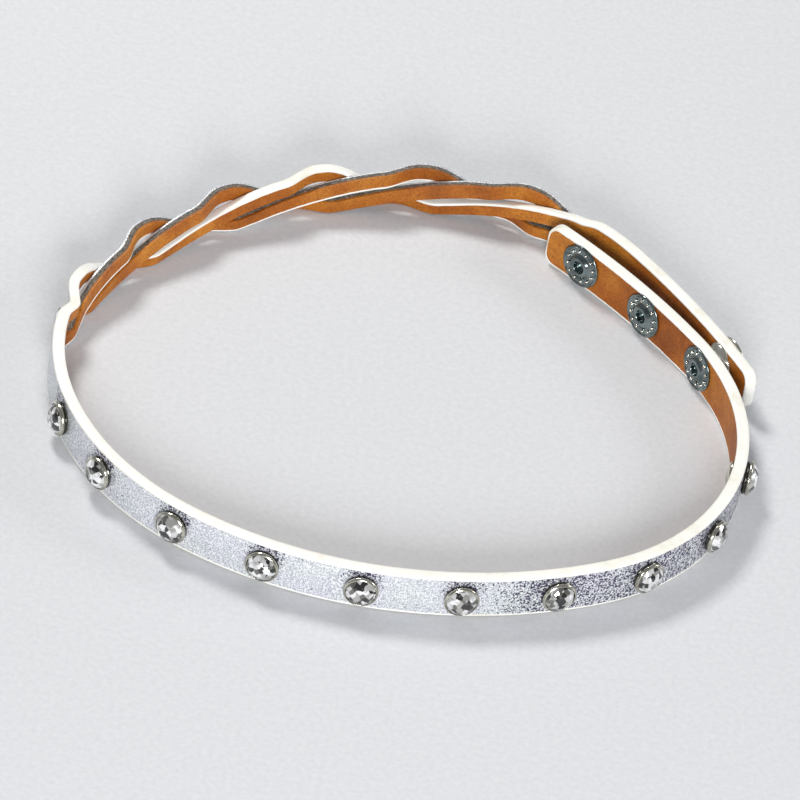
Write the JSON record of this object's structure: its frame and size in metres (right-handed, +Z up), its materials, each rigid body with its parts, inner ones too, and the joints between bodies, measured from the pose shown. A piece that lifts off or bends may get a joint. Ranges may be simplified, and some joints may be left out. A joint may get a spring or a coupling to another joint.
{
  "type": "headband",
  "caption": "Leather strap headband with crystal rivets along the front, a three-strand braid at the back and a snap with three settings.",
  "frame": {"origin": "centre of the bounding box in plan, at the level of the lowest edge it stands on", "axes": "+Z up along the strap's width, +X to the wearer's left as seen from the front of the loop, -Y towards the rivets at the middle of the front"},
  "size_m": [0.1796, 0.1664, 0.0123],
  "materials": {
    "silver_face": "glittery silver coated leather with a fine pebbled grain",
    "fibre_core": "raw compressed fibre",
    "tan_lining": "smooth tan leather, satin",
    "edge_paint": "off-white edge paint, soft gloss",
    "nickel": "polished nickel plate",
    "dark_nickel": "dark blued nickel plate",
    "crystal": "clear cut crystal with a foiled back"
  },
  "bodies": {
    "band": {"band_face": "silver_face", "band_core": "fibre_core", "band_lining": "tan_lining", "band_edge_coat": "edge_paint", "upper_strand_face": "silver_face", "upper_strand_core": "fibre_core", "upper_strand_lining": "tan_lining", "upper_strand_coat": "edge_paint", "middle_strand_face": "silver_face", "middle_strand_core": "fibre_core", "middle_strand_lining": "tan_lining", "lower_strand_face": "silver_face", "lower_strand_core": "fibre_core", "lower_strand_lining": "tan_lining", "lower_strand_coat": "edge_paint", "bezel_cups": "nickel", "crystals": "crystal", "rivet_posts": "nickel", "rivet_caps": "nickel"},
    "inner_tab": {"inner_tab_face": "silver_face", "inner_tab_core": "fibre_core", "inner_tab_lining": "tan_lining", "inner_tab_edge_coat": "edge_paint", "snap_studs": "nickel", "snap_eyelets": "dark_nickel"},
    "outer_tab": {"outer_tab_face": "silver_face", "outer_tab_core": "fibre_core", "outer_tab_lining": "tan_lining", "outer_tab_edge_coat": "edge_paint", "snap_cap": "nickel", "snap_socket": "nickel", "socket_spring": "nickel"}
  },
  "joints": [
    {"name": "outer_tab_flex", "type": "hinge", "parent": "band", "child": "outer_tab", "pos_m": [0.04213, 0.07147, 0.0059], "axis": [0, 0, 1], "range_deg": [0, 40], "stiffness_Nm_per_rad": 0.004},
    {"name": "inner_tab_flex", "type": "hinge", "parent": "band", "child": "inner_tab", "pos_m": [0.08049, 0.0106, 0.0059], "axis": [0, 0, 1], "range_deg": [0, 25], "stiffness_Nm_per_rad": 0.004}
  ]
}
